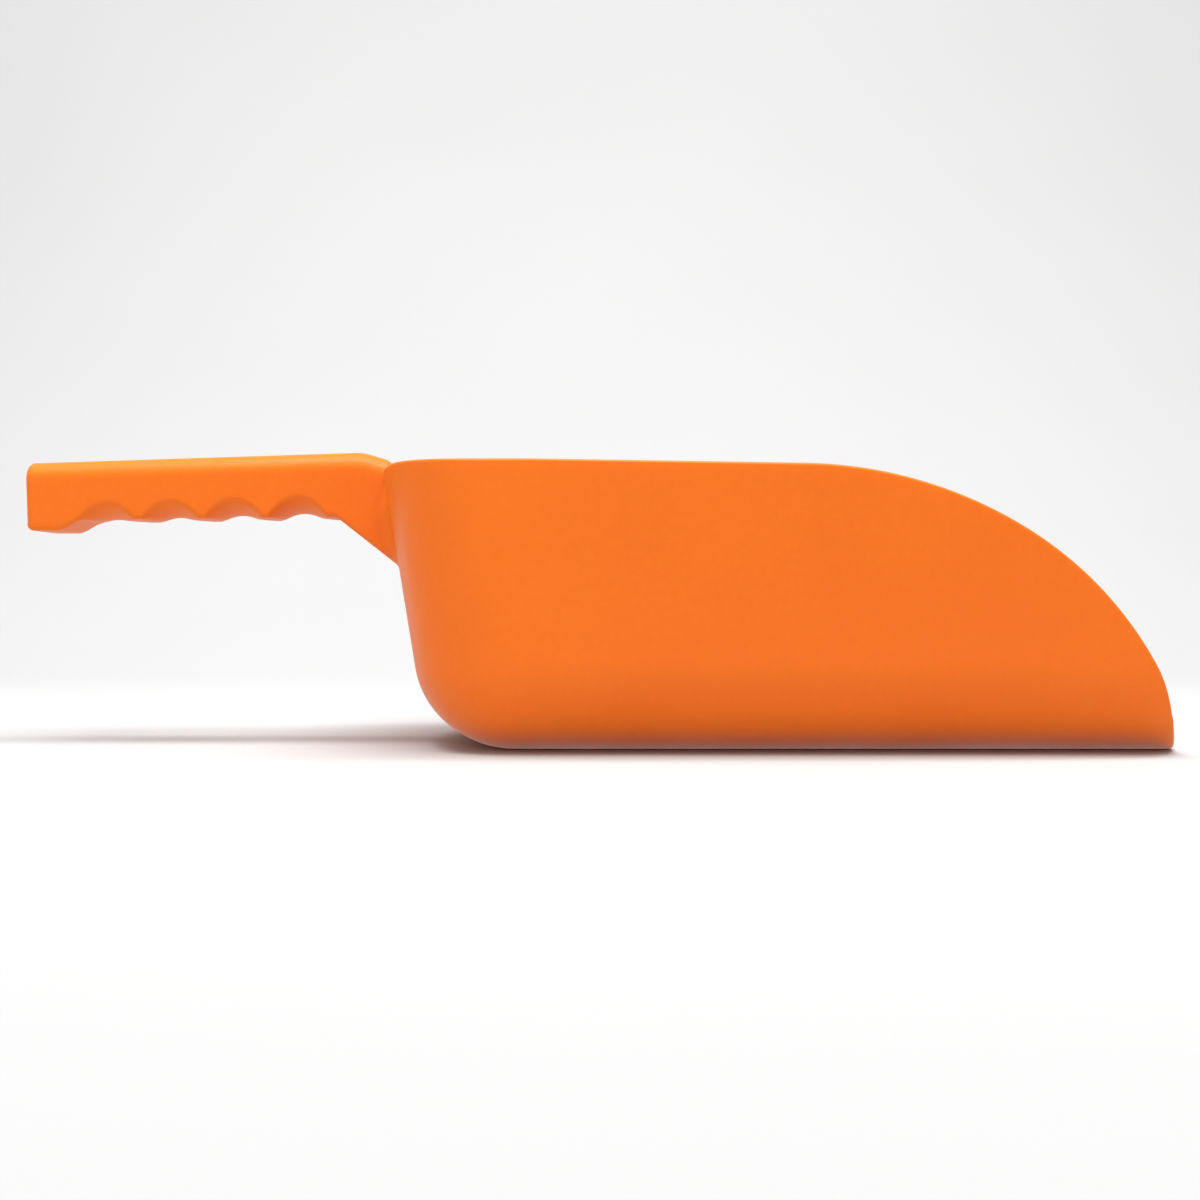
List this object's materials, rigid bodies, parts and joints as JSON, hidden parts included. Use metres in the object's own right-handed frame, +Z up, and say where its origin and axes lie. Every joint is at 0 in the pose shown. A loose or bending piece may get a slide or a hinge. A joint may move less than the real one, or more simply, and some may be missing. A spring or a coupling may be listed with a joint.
{
  "type": "hand scoop",
  "caption": "One-piece moulded hand scoop with a deep open bowl, a curved front edge and a straight grip with finger grooves.",
  "frame": {"origin": "on the surface the scoop rests on, under the middle of its overall length and width", "axes": "+X points from the handle to the lip, +Y across the scoop, +Z up out of the bowl's mouth"},
  "size_m": [0.4086, 0.1518, 0.1045],
  "materials": {
    "scoop_plastic": "satin injection-moulded polypropylene, solid orange through the wall"
  },
  "bodies": {
    "root": {"bowl": "scoop_plastic", "handle": "scoop_plastic"}
  },
  "joints": []
}
